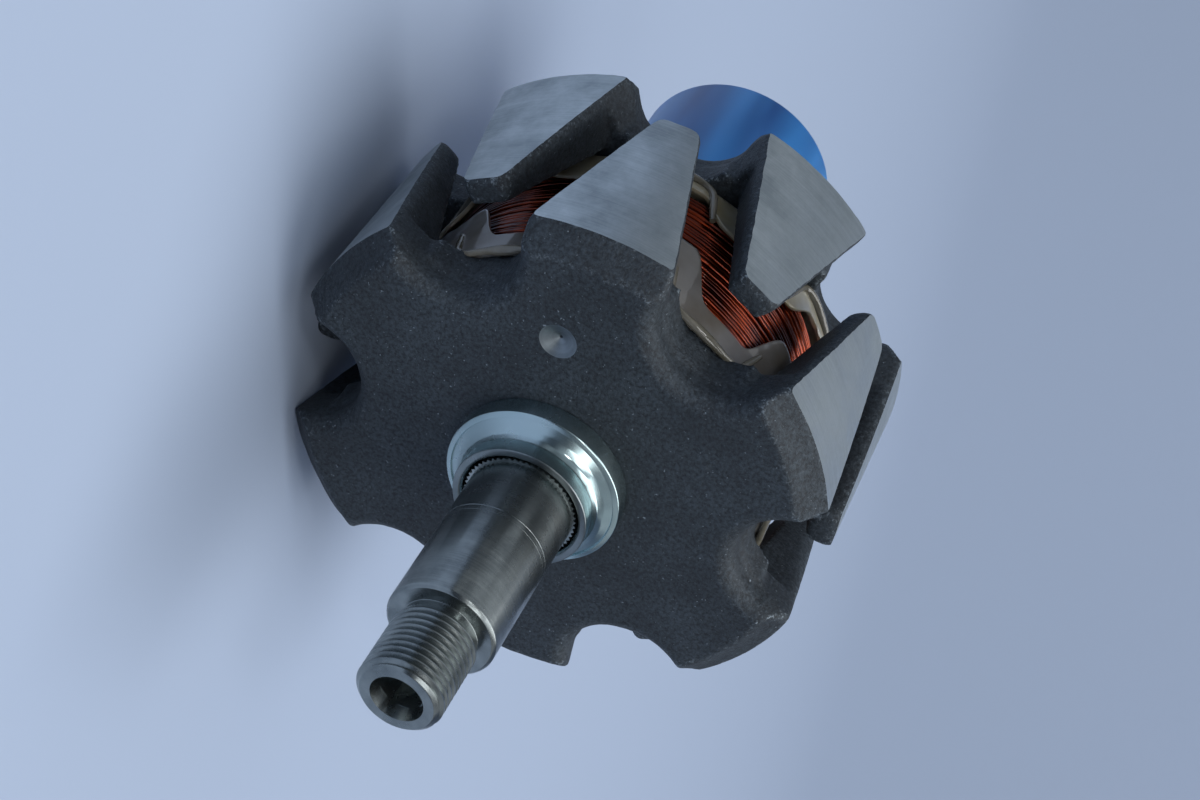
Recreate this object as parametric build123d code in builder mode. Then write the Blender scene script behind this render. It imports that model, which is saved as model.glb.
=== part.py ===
# Claw-pole rotor of a vehicle alternator, in millimetres.
# The shaft lies along Y with its threaded end towards -Y, and +Z is up.
# The origin is on the shaft axis, in the end face of the collar that the front bearing sits against.
# Stations are counted along the shaft from the origin, positive towards the threaded end.
import os
from math import cos, radians, sin, sqrt

from build123d import *

os.makedirs("parts", exist_ok=True)

# Pole stack
claws = 6
claw_pitch = 360 / claws
front_claw_angle = -68.5
rear_claw_angle = front_claw_angle - claw_pitch / 2
rotor_radius = 54.0
stack_length = 59.0
rim_set_back = 4.9
face_radius = 49.2
disc_thickness = 12.0
hub_radius = 38.6
hub_draft = 8.0
arm_half_width = 13.3
claw_root_half_width = 13.7
claw_tip_half_width = 4.3
claw_length = 38.8
claw_root_inner_radius = 42.0
claw_tip_inner_radius = 48.9
claw_tip_corner = 2.4
parting_radius = 51.0
claw_flank_inset = 3.4
notch_fillet = 6.0
ridge_chamfer = 1.4
pole_edge_chamfer = 0.7
core_radius = 24.0
dimple_radius = 3.6
dimple_depth = 1.9
dimple_from_axis = 31.8
dimple_angle = 176.0

# Shaft
journal_radius = 10.3
core_seat_radius = 11.2
core_seat_front = -4.5
journal_end = 34.3
shoulder_chamfer = 0.6
relief_radius = 7.0
relief_length = 2.2
thread_radius = 7.94
thread_end = 51.4
end_chamfer = 1.1
rear_seat_end = -76.0
rear_journal_radius = 8.5
shaft_tail = -118.0
socket_across_flats = 8.0
socket_depth = 9.0
socket_mouth_radius = 4.9

# Collar on the shaft in front of the poles
collar_length = 10.5
collar_flange_radius = 17.2
collar_flange_length = 4.3
collar_step_radius = 14.4
collar_step_length = 1.3
collar_nose_radius = 13.2
collar_nose_chamfer = 0.5
collar_bore_radius = 11.4
collar_grip_length = 4.0

# Field winding and its insulation
bobbin_wall = 1.6
coil_radius = 39.9
skirt_radius = 41.2
skirt_wall = 1.0
skirt_end = 0.5
front_cut_depth = 11.5
rear_cut_depth = 15.0
cut_floor_half_width = 4.8
cut_mouth_half_width = 9.6
cut_corner = 3.5

# Slip rings and the cap over them
spacer_radius = 14.0
ring_hub_front = -76.0
ring_hub_rear = -106.0
ring_hub_radius = 14.5
ring_hub_flange_radius = 20.0
ring_hub_flange_length = 5.0
ring_radius = 16.5
ring_width = 7.0
ring_gap = 3.0
cap_radius = 21.8
cap_wall = 1.8
cap_front = -77.5
cap_rear = -122.0
cap_corner = 0.8

# Two leads from the winding to the slip rings
lead_radius = 0.8
sleeve_radius = 1.7
lead_start = 5.0
lead_rise_start = 8.0
lead_rise_end = 12.0
lead_angles = (front_claw_angle, front_claw_angle + 2 * claw_pitch)
lead_entry_radius = 17.2
lead_overlap = 1.0
lead_sides = 8

# Stations worked out from the dimensions above
face_front = -collar_length
face_rear = face_front - stack_length
stack_middle = face_front - stack_length / 2
rim_half = stack_length / 2 - rim_set_back
disc_half = stack_length / 2 - disc_thickness
coil_half = disc_half - bobbin_wall
claw_tip_half = rim_half - claw_length
claw_taper = (claw_root_half_width - claw_tip_half_width) / claw_length
arm_back_half_width = claw_root_half_width - claw_taper * (rim_half - disc_half)


def station(position, inward=False):
    """The plane square to the shaft at a station; its normal points to the threaded end, or away."""
    normal = (0, 1, 0) if inward else (0, -1, 0)
    return Plane(origin=(0, -position, 0), x_dir=(1, 0, 0), z_dir=normal)


def radial(angle):
    """The unit vector away from the shaft at an angle up from +X."""
    return Vector(cos(radians(angle)), 0, sin(radians(angle)))


def claw_plane(angle, distance):
    """The plane square to a claw's middle line; its Y runs along the shaft to the threaded end."""
    outward = radial(angle)
    return Plane(origin=outward * distance, x_dir=Vector(0, -1, 0).cross(outward), z_dir=outward)


def place(angle, radius, position):
    """The point at an angle and radius about the shaft, at a station."""
    return radial(angle) * radius + Vector(0, -position, 0)


def turned(points):
    """A solid of revolution about the shaft, from (station, radius) points in order."""
    with BuildPart() as body:
        with BuildSketch(Plane.YZ):
            with BuildLine():
                Polyline([(-position, radius) for position, radius in points], close=True)
            make_face()
        revolve(axis=Axis.Y)
    return body.part


def ring(start, end, outer, inner):
    """A plain ring between two stations."""
    return turned([(start, inner), (start, outer), (end, outer), (end, inner)])


def finish(part, name):
    """Name a piece and write it."""
    part.label = name
    export_step(part, f"parts/{name}.step")


def from_axis(point):
    """How far a point is from the shaft axis."""
    return sqrt(point.X**2 + point.Z**2)


def claw(side, blank):
    """One claw along +X, widest at the parting line of its forging and drafted towards the winding."""
    face, root, tip = (stack_middle + side * half for half in (stack_length / 2, rim_half, claw_tip_half))

    def outline(inset=0):
        half_widths = (arm_half_width, claw_root_half_width, claw_tip_half_width)
        right = [(half_width - inset, y) for half_width, y in zip(half_widths, (face, root, tip))]
        return right + [(-x, y) for x, y in reversed(right)]

    with BuildPart() as body:
        with BuildSketch(claw_plane(0, parting_radius)):
            Polygon(*outline(), align=None)
        extrude(amount=rotor_radius - parting_radius)
        with BuildSketch(claw_plane(0, parting_radius)):
            Polygon(*outline(), align=None)
        with BuildSketch(claw_plane(0, claw_root_inner_radius)):
            Polygon(*outline(claw_flank_inset), align=None)
        loft(ruled=True)

        # Rounded tip
        with BuildSketch(claw_plane(0, core_radius)):
            Polygon(*outline(), align=None)
            fillet([v for v in vertices() if abs(v.Y - tip) < 0.1], radius=claw_tip_corner)
        extrude(amount=rotor_radius, mode=Mode.INTERSECT)

        # Face turned with the stack, its edges broken
        add(blank, mode=Mode.INTERSECT)
        ground_face = faces().filter_by(GeomType.CYLINDER).sort_by(SortBy.AREA)[-1]
        chamfer([edge for edge in ground_face.edges() if abs(edge.center().Y + root) > 0.1], pole_edge_chamfer)
    return body.part


def pole_half(first_angle, side):
    """A forged pole half with its claws; side is 1 for the front one and -1 for the rear one."""

    def along(distance):
        return stack_middle + side * distance

    # Everything the half may fill, turned about the shaft
    blank = turned(
        [
            (along(stack_length / 2), core_seat_radius),
            (along(stack_length / 2), face_radius),
            (along(rim_half), rotor_radius),
            (along(claw_tip_half), rotor_radius),
            (along(claw_tip_half), claw_tip_inner_radius),
            (along(disc_half), claw_root_inner_radius),
            (along(disc_half), core_radius),
            (along(0), core_radius),
            (along(0), core_seat_radius),
        ]
    )
    with BuildPart() as half:
        # Hub disc with its drafted rim
        with BuildSketch(station(along(stack_length / 2), inward=side > 0)):
            Circle(hub_radius)
        extrude(amount=disc_thickness, taper=-hub_draft)

        # Arms that run out from the hub
        for number in range(claws):
            with BuildSketch(claw_plane(first_angle + number * claw_pitch, core_radius)):
                with BuildLine():
                    right = [
                        (arm_half_width, along(stack_length / 2)),
                        (claw_root_half_width, along(rim_half)),
                        (arm_back_half_width, along(disc_half)),
                    ]
                    left = [(-x, y) for x, y in reversed(right)]
                    Polyline(right + left, close=True)
                make_face()
            extrude(amount=parting_radius - core_radius)

        # Rounded valleys where the arms meet the hub
        valley = [
            edge
            for edge in edges()
            if abs(edge.tangent_at(0.5).Y) > 0.9 and abs(from_axis(edge.center()) - hub_radius) < 3
        ]
        fillet(valley, radius=notch_fillet)
        notch_rim = [
            edge
            for edge in edges()
            if abs(edge.center().Y + along(stack_length / 2)) < 0.01 and from_axis(edge.center()) < face_radius
        ]
        chamfer(notch_rim, length=ridge_chamfer)

        # Claws that reach back from the arms over the winding
        reaching_claw = claw(side, blank)
        for number in range(claws):
            add(reaching_claw, rotation=(0, -first_angle - number * claw_pitch, 0))

        # Half of the core that the winding sits on
        with BuildSketch(station(along(0), inward=side < 0)):
            Circle(core_radius)
        extrude(amount=disc_half)
        add(blank, mode=Mode.INTERSECT)
    return half.part


# Pole halves; the front one has a drilled balance dimple in its face
with BuildPart() as front_pole_half:
    add(pole_half(front_claw_angle, 1))
    with BuildSketch(Plane(origin=place(dimple_angle, dimple_from_axis, face_front), z_dir=(0, 1, 0))):
        Circle(dimple_radius)
    extrude(amount=dimple_depth, taper=60, mode=Mode.SUBTRACT)
finish(front_pole_half.part, "front_pole_half")

with BuildPart() as rear_pole_half:
    add(pole_half(rear_claw_angle, -1))
finish(rear_pole_half.part, "rear_pole_half")

# Shaft with its threaded end, hex socket, bearing journal and slip-ring end
with BuildPart() as shaft:
    add(
        turned(
            [
                (thread_end, 0),
                (thread_end, thread_radius - end_chamfer),
                (thread_end - end_chamfer, thread_radius),
                (journal_end + relief_length, thread_radius),
                (journal_end + relief_length, relief_radius),
                (journal_end, relief_radius),
                (journal_end, journal_radius - shoulder_chamfer),
                (journal_end - shoulder_chamfer, journal_radius),
                (core_seat_front, journal_radius),
                (core_seat_front, core_seat_radius),
                (rear_seat_end, core_seat_radius),
                (rear_seat_end, rear_journal_radius),
                (shaft_tail, rear_journal_radius),
                (shaft_tail, 0),
            ]
        )
    )
    with BuildSketch(station(thread_end)):
        RegularPolygon(socket_across_flats / 2, 6, major_radius=False)
    extrude(amount=-socket_depth, mode=Mode.SUBTRACT)
    with BuildSketch(station(thread_end, inward=True)):
        Circle(socket_mouth_radius)
    extrude(amount=socket_mouth_radius - socket_across_flats / 2, taper=45, mode=Mode.SUBTRACT)
finish(shaft.part, "shaft")

# Stepped collar pressed on the shaft against the front pole half
with BuildPart() as front_collar:
    flange_end = face_front + collar_flange_length
    step_end = flange_end + collar_step_length
    add(
        turned(
            [
                (face_front, core_seat_radius),
                (face_front, collar_flange_radius),
                (flange_end, collar_flange_radius),
                (step_end, collar_step_radius),
                (step_end, collar_nose_radius),
                (-collar_nose_chamfer, collar_nose_radius),
                (0, collar_nose_radius - collar_nose_chamfer),
                (0, collar_bore_radius),
                (face_front + collar_grip_length, collar_bore_radius),
                (face_front + collar_grip_length, core_seat_radius),
            ]
        )
    )
finish(front_collar.part, "front_collar")

# Winding on its bobbin tube
with BuildPart() as bobbin_tube:
    add(ring(stack_middle - coil_half, stack_middle + coil_half, core_radius + bobbin_wall, core_radius))
finish(bobbin_tube.part, "bobbin_tube")

with BuildPart() as field_coil:
    add(ring(stack_middle - coil_half, stack_middle + coil_half, coil_radius, core_radius + bobbin_wall))
finish(field_coil.part, "field_coil")


def insulating_cheek(first_notch, side, cut_depth):
    """A cheek of the bobbin with a skirt over the winding, cut back in a U in each notch."""

    def along(distance):
        return stack_middle + side * distance

    with BuildPart() as cheek:
        add(
            turned(
                [
                    (along(disc_half), core_radius),
                    (along(disc_half), skirt_radius),
                    (along(skirt_end), skirt_radius),
                    (along(skirt_end), skirt_radius - skirt_wall),
                    (along(coil_half), skirt_radius - skirt_wall),
                    (along(coil_half), core_radius),
                ]
            )
        )
        for number in range(claws):
            with BuildSketch(claw_plane(first_notch + number * claw_pitch, core_radius)):
                with BuildLine():
                    right = [(cut_floor_half_width, along(cut_depth)), (cut_mouth_half_width, along(0))]
                    left = [(-x, y) for x, y in reversed(right)]
                    Polyline(right + left, close=True)
                make_face()
                floor_corners = [v for v in vertices() if abs(v.Y - along(cut_depth)) < 0.1]
                fillet(floor_corners, radius=cut_corner)
            extrude(amount=rotor_radius, mode=Mode.SUBTRACT)
    return cheek.part


with BuildPart() as front_cheek:
    add(insulating_cheek(rear_claw_angle, 1, front_cut_depth))
finish(front_cheek.part, "front_cheek")

with BuildPart() as rear_cheek:
    add(insulating_cheek(front_claw_angle, -1, rear_cut_depth))
finish(rear_cheek.part, "rear_cheek")

# Spacer, slip-ring hub and its two rings
with BuildPart() as rear_spacer:
    add(ring(ring_hub_front, face_rear, spacer_radius, core_seat_radius))
finish(rear_spacer.part, "rear_spacer")

with BuildPart() as slip_ring_hub:
    flange_back = ring_hub_front - ring_hub_flange_length
    add(ring(flange_back, ring_hub_front, ring_hub_flange_radius, rear_journal_radius))
    add(ring(ring_hub_rear, flange_back, ring_hub_radius, rear_journal_radius))
finish(slip_ring_hub.part, "slip_ring_hub")

for number, name in enumerate(("inner_slip_ring", "outer_slip_ring")):
    with BuildPart() as slip_ring:
        ring_front = ring_hub_front - ring_hub_flange_length - ring_gap - number * (ring_width + ring_gap)
        add(ring(ring_front - ring_width, ring_front, ring_radius, ring_hub_radius))
    finish(slip_ring.part, name)

# Push-on cap that covers the slip rings
with BuildPart() as slip_ring_cap:
    add(
        turned(
            [
                (cap_front, ring_hub_flange_radius),
                (cap_front, cap_radius),
                (cap_rear, cap_radius),
                (cap_rear, 0),
                (cap_rear + cap_wall, 0),
                (cap_rear + cap_wall, ring_hub_flange_radius),
            ]
        )
    )
    closed_rim = edges().filter_by(GeomType.CIRCLE).group_by(Axis.Y)[-1].sort_by(SortBy.RADIUS)[-1]
    chamfer(closed_rim, length=cap_corner)
finish(slip_ring_cap.part, "slip_ring_cap")


def lead_piece(angle, route, radius):
    """A lead or its sleeve along (radius, station) points at one angle, mitred where it bends."""
    points = [place(angle, *point) for point in route]
    with BuildPart() as body:
        with BuildLine():
            Polyline(*points)
        with BuildSketch(Plane(origin=points[0], x_dir=radial(angle), z_dir=(0, 1, 0))):
            RegularPolygon(radius, lead_sides)
        sweep(transition=Transition.RIGHT)
    return body.part


# Two leads in sleeves, out through rear notches and down the rear face to the slip-ring hub
sleeve_path_radius = skirt_radius + sleeve_radius
sleeve_station = face_rear - sleeve_radius
sleeve_start = stack_middle - lead_rise_end
for number, angle in enumerate(lead_angles, start=1):
    with BuildPart() as lead_sleeve:
        route = [
            (sleeve_path_radius, sleeve_start),
            (sleeve_path_radius, sleeve_station),
            (lead_entry_radius, sleeve_station),
            (lead_entry_radius, ring_hub_front),
        ]
        add(lead_piece(angle, route, sleeve_radius))
    finish(lead_sleeve.part, f"lead_sleeve_{number}")

    with BuildPart() as lead_wire:
        route = [
            (coil_radius + lead_radius, stack_middle - lead_start),
            (coil_radius + lead_radius, stack_middle - lead_rise_start),
            (sleeve_path_radius, sleeve_start + lead_overlap),
            (sleeve_path_radius, sleeve_start),
        ]
        add(lead_piece(angle, route, lead_radius))
    finish(lead_wire.part, f"lead_wire_{number}")
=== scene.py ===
"""Claw-pole rotor of a vehicle alternator, dressed for a studio picture.

The shaft lies along Y with its threaded end towards -Y, and +Z is up.
Stations run along the shaft from the bearing face, positive towards the threaded end.
"""

from math import atan2, cos, hypot, radians, sin, tau

import bmesh
import bpy
from mathutils import Matrix, Vector, noise


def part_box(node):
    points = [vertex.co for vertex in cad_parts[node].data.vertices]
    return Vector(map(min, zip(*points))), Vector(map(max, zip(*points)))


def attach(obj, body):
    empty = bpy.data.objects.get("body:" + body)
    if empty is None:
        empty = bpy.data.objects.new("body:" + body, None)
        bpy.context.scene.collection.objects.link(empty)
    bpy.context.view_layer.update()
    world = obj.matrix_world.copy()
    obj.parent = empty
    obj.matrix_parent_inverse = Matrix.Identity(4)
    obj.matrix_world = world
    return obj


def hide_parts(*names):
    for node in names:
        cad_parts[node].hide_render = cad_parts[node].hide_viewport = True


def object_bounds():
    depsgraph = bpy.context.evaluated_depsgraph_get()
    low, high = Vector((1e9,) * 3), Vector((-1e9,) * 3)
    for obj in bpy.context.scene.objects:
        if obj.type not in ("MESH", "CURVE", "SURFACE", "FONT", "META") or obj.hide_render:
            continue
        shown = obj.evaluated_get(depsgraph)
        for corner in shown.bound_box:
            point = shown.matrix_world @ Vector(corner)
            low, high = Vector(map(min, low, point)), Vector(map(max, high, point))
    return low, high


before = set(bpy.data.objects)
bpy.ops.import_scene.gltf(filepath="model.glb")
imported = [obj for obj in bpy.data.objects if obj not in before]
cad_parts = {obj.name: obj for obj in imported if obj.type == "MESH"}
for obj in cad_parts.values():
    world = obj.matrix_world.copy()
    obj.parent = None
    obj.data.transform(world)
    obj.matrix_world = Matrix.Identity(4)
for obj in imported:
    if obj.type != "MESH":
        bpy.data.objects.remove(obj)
cad_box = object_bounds()

bl_info = {
    "name": "Alternator rotor",
    "version": (1, 0, 0),
    "blender": (4, 5, 0),
    "location": "View3D > Sidebar > Rotor",
    "description": "Dresses an alternator's claw-pole rotor with forged, turned and wound surfaces",
    "category": "Object",
}

MM = 0.001


# Sizes and colours that a user would change

def linear(hex_value):
    """The linear colour of an sRGB hex value."""
    parts = [int(hex_value[i:i + 2], 16) / 255 for i in (1, 3, 5)]
    return [p / 12.92 if p <= 0.04045 else ((p + 0.055) / 1.055) ** 2.4 for p in parts] + [1.0]


def colour(name, description, hex_value):
    """A colour property whose default is given as an sRGB hex value."""
    return bpy.props.FloatVectorProperty(
        name=name,
        description=description,
        default=linear(hex_value),
        size=4,
        min=0,
        max=1,
        subtype="COLOR",
    )


def length(name, description, millimetres):
    """A length property whose default is given in millimetres."""
    return bpy.props.FloatProperty(
        name=name, description=description, default=millimetres * MM, precision=5, unit="LENGTH"
    )


def angle(name, description, degrees):
    """An angle property whose default is given in degrees."""
    return bpy.props.FloatProperty(
        name=name, description=description, default=radians(degrees), subtype="ANGLE", unit="ROTATION"
    )


class RotorPoles(bpy.types.PropertyGroup):
    """Sizes of the two forged pole halves."""

    claws: bpy.props.IntProperty(name="Claws", description="Claws on each half", default=6, min=3)
    front_claw: angle("Front claw", "First front claw, up from +X", -68.5)
    middle: length("Middle", "Station of the middle of the pole stack", -40.0)
    half_stack: length("Half stack", "From the middle to either flat face", 29.5)
    rim: length("Rim radius", "Radius of the ground rim", 54.0)
    disc: length("Disc", "Thickness of the disc that the arms grow from", 12.0)
    valley: length("Valley", "Radius of the rounded valley between two arms", 12.0)
    valley_place: length("Valley place", "Distance of the valley's centre from the axis", 50.6)
    stock: length("Stock", "Forged metal outside the rim before it is ground", 0.55)
    grain: length("Grain", "Edge of the forging's surface mesh", 0.66)
    waviness: length("Waviness", "How far the forged skin wanders", 0.12)
    pitting: length("Pitting", "How far shot and scale have pitted the skin", 0.09)
    dimple: length("Dimple", "Radius of the drill point in the front face", 3.6)
    dimple_depth: length("Dimple depth", "Depth of the drill point", 1.7)
    dimple_radius: length("Dimple place", "Distance of the drill point from the axis", 31.8)
    dimple_angle: angle("Dimple angle", "The drill point, up from +X", 176.0)
    dent: length("Dent", "Radius of the small centre-punch dent", 0.95)
    dent_depth: length("Dent depth", "Depth of the small dent", 0.5)
    dent_radius: length("Dent place", "Distance of the small dent from the axis", 35.3)
    dent_angle: angle("Dent angle", "The small dent, up from +X", 112.0)


class RotorShaft(bpy.types.PropertyGroup):
    """Sizes of the shaft and of the collar on it."""

    journal: length("Journal", "Radius of the ground journal", 10.3)
    shoulder: length("Shoulder", "Station where the journal ends", 34.3)
    relief: length("Relief", "Length of the groove behind the thread", 2.2)
    thread: length("Thread", "Outside radius of the thread", 7.94)
    pitch: length("Pitch", "18 threads per inch", 1.411)
    thread_depth: length("Thread depth", "Depth of the thread's groove", 0.87)
    end: length("End", "Station of the threaded end", 51.4)
    socket: length("Socket", "Hexagon socket across its flats", 8.0)
    socket_depth: length("Socket depth", "Depth of the hexagon socket", 9.0)
    socket_mouth: length("Socket mouth", "Radius of the countersink at the socket", 4.9)
    tail: length("Tail", "Station of the slip-ring end", -118.0)
    collar: length("Collar", "Length of the collar on the shaft", 10.5)
    flange: length("Flange", "Radius of the collar's flange", 17.2)
    flange_length: length("Flange length", "Length of the flange's rim along the shaft", 4.3)
    nose: length("Nose", "Radius of the collar's nose", 13.2)
    bore: length("Bore", "Radius of the collar's mouth round the shaft", 11.4)
    seat: length("Seat", "Radius of the knurled seat that the collar and poles grip", 11.2)
    seat_start: length("Seat start", "Station where the knurled seat starts, inside the collar", -0.45)
    teeth: bpy.props.IntProperty(name="Teeth", description="Ridges round the knurled seat", default=60)
    scribe: length("Scribed line", "Station of the fine line round the journal", 12.1)
    cap_wall: length("Cap wall", "Thickness of the push-on cap", 1.8)


class RotorWinding(bpy.types.PropertyGroup):
    """Sizes of the winding and its insulation."""

    wire: length("Wire", "Diameter of the enamelled wire", 0.86)
    radius: length("Radius", "Outside radius of the winding", 39.9)
    half_length: length("Half length", "Half the winding's length", 15.9)
    skirt: length("Skirt", "Outside radius of the insulating skirt", 41.2)
    wall: length("Wall", "Thickness of the insulation", 0.9)
    front_cut: length("Front cut", "Bottom of the front skirt's U, from the middle of the stack", 11.5)
    front_lip: length("Front lip", "Top of the front skirt's U, from the middle of the stack", 1.0)
    rear_cut: length("Rear cut", "Bottom of the rear skirt's U, from the middle of the stack", 15.0)
    rear_lip: length("Rear lip", "Top of the rear skirt's U, from the middle of the stack", 8.0)


class RotorColours(bpy.types.PropertyGroup):
    """Colours of the pieces, and of the floor under them."""

    copper_deep: colour("Copper, deep", "Wire under thick varnish", "#3E110A")
    copper_bright: colour("Copper, bright", "Wire under thin enamel", "#84300F")
    front_pale: colour("Front insulation, pale", "Front insulation under thin varnish", "#757371")
    front_deep: colour("Front insulation, deep", "Front insulation under thick varnish", "#5C554B")
    rear_pale: colour("Rear insulation, pale", "Rear insulation under thin varnish", "#A3A093")
    rear_deep: colour("Rear insulation, deep", "Rear insulation under thick varnish", "#83795C")
    zinc_dull: colour("Zinc, dull", "Plating where it is hazy", "#98B0B2")
    zinc_bright: colour("Zinc, bright", "Plating where it is clear", "#C0D0D4")
    # The cap's darker and lighter colours are painted reflection bands running along the cap
    cap_deep: colour("Cap, deep", "Darker flow streaks of the cap", "#164C88")
    cap_pale: colour("Cap, pale", "Lighter flow streaks of the cap", "#3480C2")
    # The floor colour is painted shade: the same paper, darker where it lies flat
    floor: colour("Floor", "Paper under the rotor", "#A0AEC4")


# Small tools

def spot(station, radius=0.0, turn=0.0):
    """The point at a station, radius and angle about the shaft."""
    return Vector((radius * cos(turn), -station, radius * sin(turn)))


def from_axis(point):
    """Distance of a point from the shaft axis."""
    return hypot(point.x, point.z)


def scale_across(point, factor):
    """Move a point away from the axis by a factor, or towards it."""
    point.x *= factor
    point.z *= factor


def add_node(tree, kind, inputs=None, **settings):
    """Add a node with its settings; each input is a value, or the socket that feeds it."""
    made = tree.nodes.new(kind)
    for name, value in settings.items():
        setattr(made, name, value)
    for name, value in (inputs or {}).items():
        if isinstance(value, bpy.types.NodeSocket):
            tree.links.new(value, made.inputs[name])
        else:
            made.inputs[name].default_value = value
    return made


def new_material(name, **shader_values):
    """A material, its node tree, its shader with these values, and its Object coordinates."""
    material = bpy.data.materials.new(name)
    material.use_nodes = True
    tree = material.node_tree
    shader = tree.nodes["Principled BSDF"]
    for socket, value in shader_values.items():
        shader.inputs[socket.replace("_", " ")].default_value = value
    place = add_node(tree, "ShaderNodeTexCoord").outputs["Object"]
    return material, tree, shader, place


def finish_piece(name, bm, materials, replaced=(), crease=30):
    """Turn a bmesh into a piece that rides on the rotor and stands for these CAD nodes."""
    for face in bm.faces:
        face.smooth = True
    for edge in bm.edges:
        same = len({face.material_index for face in edge.link_faces}) == 1
        edge.smooth = same and edge.calc_face_angle(0) < radians(crease)
    mesh = bpy.data.meshes.new(name)
    bm.to_mesh(mesh)
    bm.free()
    for material in materials:
        mesh.materials.append(material)
    piece = bpy.data.objects.new(name, mesh)
    bpy.context.scene.collection.objects.link(piece)
    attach(piece, "root")
    if replaced:
        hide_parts(*replaced)
    return piece


def loose_object(bm, name="tool"):
    """An object for a bmesh that only shapes other meshes."""
    mesh = bpy.data.meshes.new(name)
    bm.to_mesh(mesh)
    bm.free()
    made = bpy.data.objects.new(name, mesh)
    bpy.context.scene.collection.objects.link(made)
    return made


def taken_back(made):
    """The bmesh of a loose object with its modifiers applied; the object goes."""
    graph = bpy.context.evaluated_depsgraph_get()
    bm = bmesh.new()
    bm.from_mesh(made.evaluated_get(graph).to_mesh())
    mesh = made.data
    bpy.data.objects.remove(made)
    bpy.data.meshes.remove(mesh)
    return bm


def combined(bm, tool, operation):
    """The first bmesh cut by, kept inside or joined to the second."""
    body = loose_object(bm, "body")
    other = loose_object(tool)
    boolean = body.modifiers.new("cut", "BOOLEAN")
    boolean.operation = operation
    boolean.solver = "MANIFOLD"
    boolean.object = other
    result = taken_back(body)
    mesh = other.data
    bpy.data.objects.remove(other)
    bpy.data.meshes.remove(mesh)
    return result


def lathe(profile, rounding=0.0, steps=160, closed=True):
    """A body turned from (station, radius) points, with its corners rounded."""
    bm = bmesh.new()
    corners = [bm.verts.new((0, -station, radius)) for station, radius in profile]
    pairs = list(zip(corners, corners[1:]))
    if closed:
        pairs.append((corners[-1], corners[0]))
    for pair in pairs:
        bm.edges.new(pair)
    if rounding:
        bends = [
            v
            for v in corners
            if len(v.link_edges) == 2 and min(e.calc_length() for e in v.link_edges) > 2.2 * rounding
        ]
        bmesh.ops.bevel(
            bm, geom=bends, offset=rounding, affect="VERTICES", segments=3, profile=0.5, material=-1
        )
    bmesh.ops.spin(
        bm,
        geom=bm.verts[:] + bm.edges[:],
        cent=(0, 0, 0),
        axis=(0, 1, 0),
        angle=tau,
        steps=steps,
        use_merge=True,
    )
    bmesh.ops.remove_doubles(bm, verts=bm.verts, dist=MM / 1000)
    bmesh.ops.recalc_face_normals(bm, faces=bm.faces)
    return bm


def rod(radius, start, end, turn=0.0, far_radius=None, segments=6):
    """A bar along the shaft between two stations; it may taper, and turn sets its first corner."""
    bm = bmesh.new()
    bmesh.ops.create_cone(
        bm,
        cap_ends=True,
        segments=segments,
        radius1=radius,
        radius2=radius if far_radius is None else far_radius,
        depth=abs(end - start),
        matrix=Matrix.Translation((0, -(start + end) / 2, 0))
        @ Matrix.Rotation(turn, 4, "Y")
        @ Matrix.Rotation(radians(90 if end > start else -90), 4, "X"),
    )
    return bm


# Materials

def mixed_colour(tree, amount, first, second):
    """The blend of two colours, each a hex value, a colour property or a socket."""
    pair = {6: first, 7: second}
    inputs = {slot: linear(value) if isinstance(value, str) else value for slot, value in pair.items()}
    return add_node(tree, "ShaderNodeMix", {0: amount, **inputs}, data_type="RGBA").outputs[2]


def stretched(tree, value, low, high, to_low=0.0, to_high=1.0):
    """A value spread from one range over another, and held at its ends."""
    limits = {"Value": value, "From Min": low, "From Max": high, "To Min": to_low, "To Max": to_high}
    return add_node(tree, "ShaderNodeMapRange", limits).outputs[0]


def noise_at(tree, place, millimetres, detail=3.0, roughness=0.5):
    """A noise whose spots are about this many millimetres across."""
    scale = 0.5 / (millimetres * MM)
    inputs = {"Vector": place, "Scale": scale, "Detail": detail, "Roughness": roughness}
    return add_node(tree, "ShaderNodeTexNoise", inputs).outputs["Fac"]


def bumped(tree, shader, height, strength, millimetres, coat=False):
    """Raise the surface by a pattern of this depth."""
    bump = add_node(
        tree, "ShaderNodeBump", {"Height": height, "Strength": strength, "Distance": millimetres * MM}
    )
    tree.links.new(bump.outputs[0], shader.inputs["Normal"])
    if coat:
        tree.links.new(bump.outputs[0], shader.inputs["Coat Normal"])


def blasted_forging():
    """Shot-blasted forged steel: a dark leathery skin, dull, lighter where its edges are worn, and with
    scattered specks of painted glint.
    """
    material, tree, shader, place = new_material("blasted_forged_steel", Metallic=0.35, Roughness=0.62)
    blotch = stretched(tree, noise_at(tree, place, 7.0, 6.0, 0.65), 0.38, 0.64)
    grain = stretched(tree, noise_at(tree, place, 0.38, 4.0, 0.7), 0.36, 0.66)
    # Grit of 0.3 to 0.6 mm leaves dark pits beside lighter peened metal
    pitted = mixed_colour(tree, grain, "#1E2227", "#333B42")
    clean = mixed_colour(tree, grain, "#20262B", "#424B53")
    skin = mixed_colour(tree, blotch, pitted, clean)
    edge = add_node(tree, "ShaderNodeNewGeometry").outputs["Pointiness"]
    worn = stretched(tree, edge, 0.505, 0.54)
    fleck = stretched(tree, noise_at(tree, place, 0.45, 2.0, 0.8), 0.54, 0.7)
    rubbed = add_node(tree, "ShaderNodeMath", {0: worn, 1: fleck}, operation="MULTIPLY").outputs[0]
    # Scattered bright specks over the whole skin are painted glints; the flecked edges above are wear
    painted_glint = stretched(tree, noise_at(tree, place, 0.3, 1.0), 0.73, 0.82)
    wear_and_glint = add_node(tree, "ShaderNodeMath", {0: rubbed, 1: painted_glint}, operation="MAXIMUM").outputs[0]
    tree.links.new(mixed_colour(tree, wear_and_glint, skin, "#7F8B94"), shader.inputs["Base Color"])
    bumped(tree, shader, grain, 0.6, 0.12)
    return material


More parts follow.
